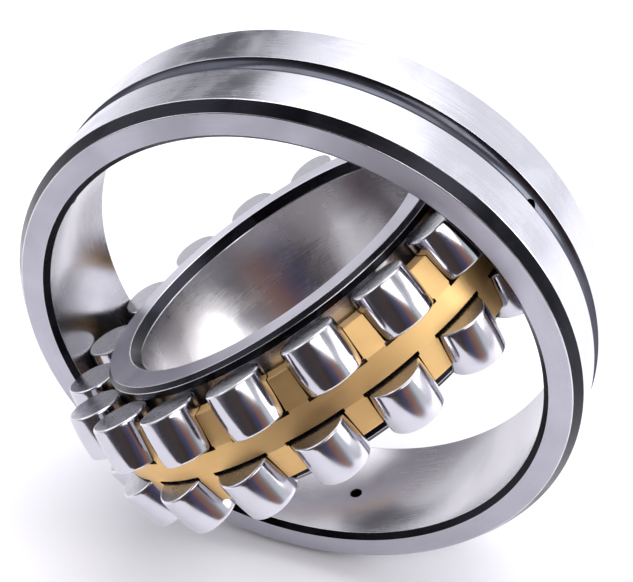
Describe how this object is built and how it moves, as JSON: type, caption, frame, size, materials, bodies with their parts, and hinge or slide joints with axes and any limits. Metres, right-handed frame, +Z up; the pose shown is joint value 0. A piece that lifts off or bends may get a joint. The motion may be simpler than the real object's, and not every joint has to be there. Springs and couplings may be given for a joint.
{
  "type": "spherical roller bearing",
  "caption": "Self-aligning spherical roller bearing: a grooved outer ring around a swivelling unit of inner ring, machined brass cage and staggered barrel rollers.",
  "frame": {"origin": "centre of the outer ring's spherical raceway, which is the point the inner unit swivels about", "axes": "+Y along the outer ring's axis, +Z up with the ring standing on its outside face, +X to the right seen from -Y"},
  "size_m": [0.15, 0.1343, 0.15],
  "materials": {
    "outer_ring_steel": "hardened bearing steel, fine ground outside and faces, honed raceway",
    "inner_ring_steel": "hardened bearing steel, ground bore and faces, honed raceways",
    "guide_ring_steel": "turned and ground steel",
    "cage_brass": "machined brass, fine turning marks, milled pockets",
    "roller_steel": "hardened steel, superfinished barrel, ground ends"
  },
  "bodies": {
    "outer_ring": {"outer_ring": "outer_ring_steel"},
    "guide_ring": {"guide_ring": "guide_ring_steel"},
    "inner_ring": {"inner_ring": "inner_ring_steel"},
    "cage": {"cage": "cage_brass"},
    "roller_a_01": {"roller_a_01": "roller_steel"},
    "roller_a_02": {"roller_a_02": "roller_steel"},
    "roller_a_03": {"roller_a_03": "roller_steel"},
    "roller_a_04": {"roller_a_04": "roller_steel"},
    "roller_a_05": {"roller_a_05": "roller_steel"},
    "roller_a_06": {"roller_a_06": "roller_steel"},
    "roller_a_07": {"roller_a_07": "roller_steel"},
    "roller_a_08": {"roller_a_08": "roller_steel"},
    "roller_a_09": {"roller_a_09": "roller_steel"},
    "roller_a_10": {"roller_a_10": "roller_steel"},
    "roller_a_11": {"roller_a_11": "roller_steel"},
    "roller_a_12": {"roller_a_12": "roller_steel"},
    "roller_a_13": {"roller_a_13": "roller_steel"},
    "roller_a_14": {"roller_a_14": "roller_steel"},
    "roller_a_15": {"roller_a_15": "roller_steel"},
    "roller_a_16": {"roller_a_16": "roller_steel"},
    "roller_a_17": {"roller_a_17": "roller_steel"},
    "roller_a_18": {"roller_a_18": "roller_steel"},
    "roller_b_01": {"roller_b_01": "roller_steel"},
    "roller_b_02": {"roller_b_02": "roller_steel"},
    "roller_b_03": {"roller_b_03": "roller_steel"},
    "roller_b_04": {"roller_b_04": "roller_steel"},
    "roller_b_05": {"roller_b_05": "roller_steel"},
    "roller_b_06": {"roller_b_06": "roller_steel"},
    "roller_b_07": {"roller_b_07": "roller_steel"},
    "roller_b_08": {"roller_b_08": "roller_steel"},
    "roller_b_09": {"roller_b_09": "roller_steel"},
    "roller_b_10": {"roller_b_10": "roller_steel"},
    "roller_b_11": {"roller_b_11": "roller_steel"},
    "roller_b_12": {"roller_b_12": "roller_steel"},
    "roller_b_13": {"roller_b_13": "roller_steel"},
    "roller_b_14": {"roller_b_14": "roller_steel"},
    "roller_b_15": {"roller_b_15": "roller_steel"},
    "roller_b_16": {"roller_b_16": "roller_steel"},
    "roller_b_17": {"roller_b_17": "roller_steel"},
    "roller_b_18": {"roller_b_18": "roller_steel"}
  },
  "joints": [
    {"name": "swivel", "type": "hinge", "parent": "outer_ring", "child": "guide_ring", "pos_m": [0, 0, 0], "axis": [0.7869, 0, 0.617], "range_deg": [-85.2, 94.8]},
    {"name": "inner_ring_spin", "type": "hinge", "parent": "guide_ring", "child": "inner_ring", "pos_m": [0, 0, 0], "axis": [-0.6149, 0.0837, 0.7842], "continuous": true},
    {"name": "cage_spin", "type": "hinge", "parent": "guide_ring", "child": "cage", "pos_m": [0, 0, 0], "axis": [-0.6149, 0.0837, 0.7842], "continuous": true},
    {"name": "roller_a_01_spin", "type": "hinge", "parent": "cage", "child": "roller_a_01", "pos_m": [0.04073, 0.00655, 0.04346], "axis": [-0.733, 0.0671, 0.6769], "continuous": true},
    {"name": "roller_a_02_spin", "type": "hinge", "parent": "cage", "child": "roller_a_02", "pos_m": [0.03741, 0.02627, 0.03874], "axis": [-0.724, 0.0138, 0.6897], "continuous": true},
    {"name": "roller_a_03_spin", "type": "hinge", "parent": "cage", "child": "roller_a_03", "pos_m": [0.02886, 0.04291, 0.03027], "axis": [-0.7009, -0.0312, 0.7126], "continuous": true},
    {"name": "roller_a_04_spin", "type": "hinge", "parent": "cage", "child": "roller_a_04", "pos_m": [0.01612, 0.05448, 0.01904], "axis": [-0.6665, -0.0625, 0.7429], "continuous": true},
    {"name": "roller_a_05_spin", "type": "hinge", "parent": "cage", "child": "roller_a_05", "pos_m": [0.00072, 0.05957, 0.00643], "axis": [-0.6248, -0.0762, 0.777], "continuous": true},
    {"name": "roller_a_06_spin", "type": "hinge", "parent": "cage", "child": "roller_a_06", "pos_m": [-0.01547, 0.05757, -0.00605], "axis": [-0.5811, -0.0709, 0.8108], "continuous": true},
    {"name": "roller_a_07_spin", "type": "hinge", "parent": "cage", "child": "roller_a_07", "pos_m": [-0.0305, 0.04873, -0.0169], "axis": [-0.5404, -0.0469, 0.8401], "continuous": true},
    {"name": "roller_a_08_spin", "type": "hinge", "parent": "cage", "child": "roller_a_08", "pos_m": [-0.04257, 0.0341, -0.0248], "axis": [-0.5078, -0.0074, 0.8614], "continuous": true},
    {"name": "roller_a_09_spin", "type": "hinge", "parent": "cage", "child": "roller_a_09", "pos_m": [-0.05022, 0.01546, -0.02881], "axis": [-0.4872, 0.043, 0.8723], "continuous": true},
    {"name": "roller_a_10_spin", "type": "hinge", "parent": "cage", "child": "roller_a_10", "pos_m": [-0.05251, -0.00495, -0.02843], "axis": [-0.4809, 0.0981, 0.8712], "continuous": true},
    {"name": "roller_a_11_spin", "type": "hinge", "parent": "cage", "child": "roller_a_11", "pos_m": [-0.04919, -0.02467, -0.02372], "axis": [-0.4899, 0.1514, 0.8585], "continuous": true},
    {"name": "roller_a_12_spin", "type": "hinge", "parent": "cage", "child": "roller_a_12", "pos_m": [-0.04064, -0.04131, -0.01524], "axis": [-0.513, 0.1964, 0.8356], "continuous": true},
    {"name": "roller_a_13_spin", "type": "hinge", "parent": "cage", "child": "roller_a_13", "pos_m": [-0.0279, -0.05288, -0.00402], "axis": [-0.5475, 0.2277, 0.8053], "continuous": true},
    {"name": "roller_a_14_spin", "type": "hinge", "parent": "cage", "child": "roller_a_14", "pos_m": [-0.01251, -0.05797, 0.0086], "axis": [-0.5891, 0.2415, 0.7712], "continuous": true},
    {"name": "roller_a_15_spin", "type": "hinge", "parent": "cage", "child": "roller_a_15", "pos_m": [0.00368, -0.05597, 0.02108], "axis": [-0.6328, 0.2361, 0.7374], "continuous": true},
    {"name": "roller_a_16_spin", "type": "hinge", "parent": "cage", "child": "roller_a_16", "pos_m": [0.01872, -0.04712, 0.03193], "axis": [-0.6735, 0.2121, 0.7081], "continuous": true},
    {"name": "roller_a_17_spin", "type": "hinge", "parent": "cage", "child": "roller_a_17", "pos_m": [0.03079, -0.0325, 0.03983], "axis": [-0.7061, 0.1726, 0.6867], "continuous": true},
    {"name": "roller_a_18_spin", "type": "hinge", "parent": "cage", "child": "roller_a_18", "pos_m": [0.03843, -0.01386, 0.04383], "axis": [-0.7268, 0.1222, 0.6759], "continuous": true},
    {"name": "roller_b_01_spin", "type": "hinge", "parent": "cage", "child": "roller_b_01", "pos_m": [0.05154, 0.01505, 0.02659], "axis": [-0.4836, 0.1254, 0.8663], "continuous": true},
    {"name": "roller_b_02_spin", "type": "hinge", "parent": "cage", "child": "roller_b_02", "pos_m": [0.04551, 0.03351, 0.0199], "axis": [-0.4999, 0.1753, 0.8482], "continuous": true},
    {"name": "roller_b_03_spin", "type": "hinge", "parent": "cage", "child": "roller_b_03", "pos_m": [0.03471, 0.04783, 0.00989], "axis": [-0.5291, 0.2141, 0.8211], "continuous": true},
    {"name": "roller_b_04_spin", "type": "hinge", "parent": "cage", "child": "roller_b_04", "pos_m": [0.02042, 0.05629, -0.00221], "axis": [-0.5677, 0.2369, 0.7884], "continuous": true},
    {"name": "roller_b_05_spin", "type": "hinge", "parent": "cage", "child": "roller_b_05", "pos_m": [0.00439, 0.05786, -0.01495], "axis": [-0.611, 0.2412, 0.754], "continuous": true},
    {"name": "roller_b_06_spin", "type": "hinge", "parent": "cage", "child": "roller_b_06", "pos_m": [-0.01147, 0.05235, -0.02679], "axis": [-0.6539, 0.2263, 0.722], "continuous": true},
    {"name": "roller_b_07_spin", "type": "hinge", "parent": "cage", "child": "roller_b_07", "pos_m": [-0.02523, 0.04044, -0.03631], "axis": [-0.6911, 0.1941, 0.6962], "continuous": true},
    {"name": "roller_b_08_spin", "type": "hinge", "parent": "cage", "child": "roller_b_08", "pos_m": [-0.03524, 0.02355, -0.04236], "axis": [-0.7181, 0.1484, 0.6799], "continuous": true},
    {"name": "roller_b_09_spin", "type": "hinge", "parent": "cage", "child": "roller_b_09", "pos_m": [-0.04029, 0.00372, -0.0442], "axis": [-0.7318, 0.0948, 0.6749], "continuous": true},
    {"name": "roller_b_10_spin", "type": "hinge", "parent": "cage", "child": "roller_b_10", "pos_m": [-0.03976, -0.01665, -0.04162], "axis": [-0.7304, 0.0398, 0.6819], "continuous": true},
    {"name": "roller_b_11_spin", "type": "hinge", "parent": "cage", "child": "roller_b_11", "pos_m": [-0.03373, -0.03511, -0.03492], "axis": [-0.7141, -0.0101, 0.7], "continuous": true},
    {"name": "roller_b_12_spin", "type": "hinge", "parent": "cage", "child": "roller_b_12", "pos_m": [-0.02293, -0.04943, -0.02492], "axis": [-0.6849, -0.0489, 0.727], "continuous": true},
    {"name": "roller_b_13_spin", "type": "hinge", "parent": "cage", "child": "roller_b_13", "pos_m": [-0.00864, -0.05789, -0.01282], "axis": [-0.6462, -0.0717, 0.7598], "continuous": true},
    {"name": "roller_b_14_spin", "type": "hinge", "parent": "cage", "child": "roller_b_14", "pos_m": [0.00739, -0.05946, -0.00007], "axis": [-0.6029, -0.076, 0.7942], "continuous": true},
    {"name": "roller_b_15_spin", "type": "hinge", "parent": "cage", "child": "roller_b_15", "pos_m": [0.02325, -0.05396, 0.01177], "axis": [-0.56, -0.0611, 0.8262], "continuous": true},
    {"name": "roller_b_16_spin", "type": "hinge", "parent": "cage", "child": "roller_b_16", "pos_m": [0.03701, -0.04204, 0.02129], "axis": [-0.5228, -0.0289, 0.8519], "continuous": true},
    {"name": "roller_b_17_spin", "type": "hinge", "parent": "cage", "child": "roller_b_17", "pos_m": [0.04702, -0.02515, 0.02733], "axis": [-0.4958, 0.0168, 0.8683], "continuous": true},
    {"name": "roller_b_18_spin", "type": "hinge", "parent": "cage", "child": "roller_b_18", "pos_m": [0.05207, -0.00532, 0.02918], "axis": [-0.4822, 0.0704, 0.8733], "continuous": true}
  ],
  "couplings": [
    {"joint": "cage_spin", "follows": "inner_ring_spin", "ratio": 0.43708},
    {"joint": "roller_a_01_spin", "follows": "inner_ring_spin", "ratio": -3.8808},
    {"joint": "roller_a_02_spin", "follows": "inner_ring_spin", "ratio": -3.8808},
    {"joint": "roller_a_03_spin", "follows": "inner_ring_spin", "ratio": -3.8808},
    {"joint": "roller_a_04_spin", "follows": "inner_ring_spin", "ratio": -3.8808},
    {"joint": "roller_a_05_spin", "follows": "inner_ring_spin", "ratio": -3.8808},
    {"joint": "roller_a_06_spin", "follows": "inner_ring_spin", "ratio": -3.8808},
    {"joint": "roller_a_07_spin", "follows": "inner_ring_spin", "ratio": -3.8808},
    {"joint": "roller_a_08_spin", "follows": "inner_ring_spin", "ratio": -3.8808},
    {"joint": "roller_a_09_spin", "follows": "inner_ring_spin", "ratio": -3.8808},
    {"joint": "roller_a_10_spin", "follows": "inner_ring_spin", "ratio": -3.8808},
    {"joint": "roller_a_11_spin", "follows": "inner_ring_spin", "ratio": -3.8808},
    {"joint": "roller_a_12_spin", "follows": "inner_ring_spin", "ratio": -3.8808},
    {"joint": "roller_a_13_spin", "follows": "inner_ring_spin", "ratio": -3.8808},
    {"joint": "roller_a_14_spin", "follows": "inner_ring_spin", "ratio": -3.8808},
    {"joint": "roller_a_15_spin", "follows": "inner_ring_spin", "ratio": -3.8808},
    {"joint": "roller_a_16_spin", "follows": "inner_ring_spin", "ratio": -3.8808},
    {"joint": "roller_a_17_spin", "follows": "inner_ring_spin", "ratio": -3.8808},
    {"joint": "roller_a_18_spin", "follows": "inner_ring_spin", "ratio": -3.8808},
    {"joint": "roller_b_01_spin", "follows": "inner_ring_spin", "ratio": -3.8808},
    {"joint": "roller_b_02_spin", "follows": "inner_ring_spin", "ratio": -3.8808},
    {"joint": "roller_b_03_spin", "follows": "inner_ring_spin", "ratio": -3.8808},
    {"joint": "roller_b_04_spin", "follows": "inner_ring_spin", "ratio": -3.8808},
    {"joint": "roller_b_05_spin", "follows": "inner_ring_spin", "ratio": -3.8808},
    {"joint": "roller_b_06_spin", "follows": "inner_ring_spin", "ratio": -3.8808},
    {"joint": "roller_b_07_spin", "follows": "inner_ring_spin", "ratio": -3.8808},
    {"joint": "roller_b_08_spin", "follows": "inner_ring_spin", "ratio": -3.8808},
    {"joint": "roller_b_09_spin", "follows": "inner_ring_spin", "ratio": -3.8808},
    {"joint": "roller_b_10_spin", "follows": "inner_ring_spin", "ratio": -3.8808},
    {"joint": "roller_b_11_spin", "follows": "inner_ring_spin", "ratio": -3.8808},
    {"joint": "roller_b_12_spin", "follows": "inner_ring_spin", "ratio": -3.8808},
    {"joint": "roller_b_13_spin", "follows": "inner_ring_spin", "ratio": -3.8808},
    {"joint": "roller_b_14_spin", "follows": "inner_ring_spin", "ratio": -3.8808},
    {"joint": "roller_b_15_spin", "follows": "inner_ring_spin", "ratio": -3.8808},
    {"joint": "roller_b_16_spin", "follows": "inner_ring_spin", "ratio": -3.8808},
    {"joint": "roller_b_17_spin", "follows": "inner_ring_spin", "ratio": -3.8808},
    {"joint": "roller_b_18_spin", "follows": "inner_ring_spin", "ratio": -3.8808}
  ]
}
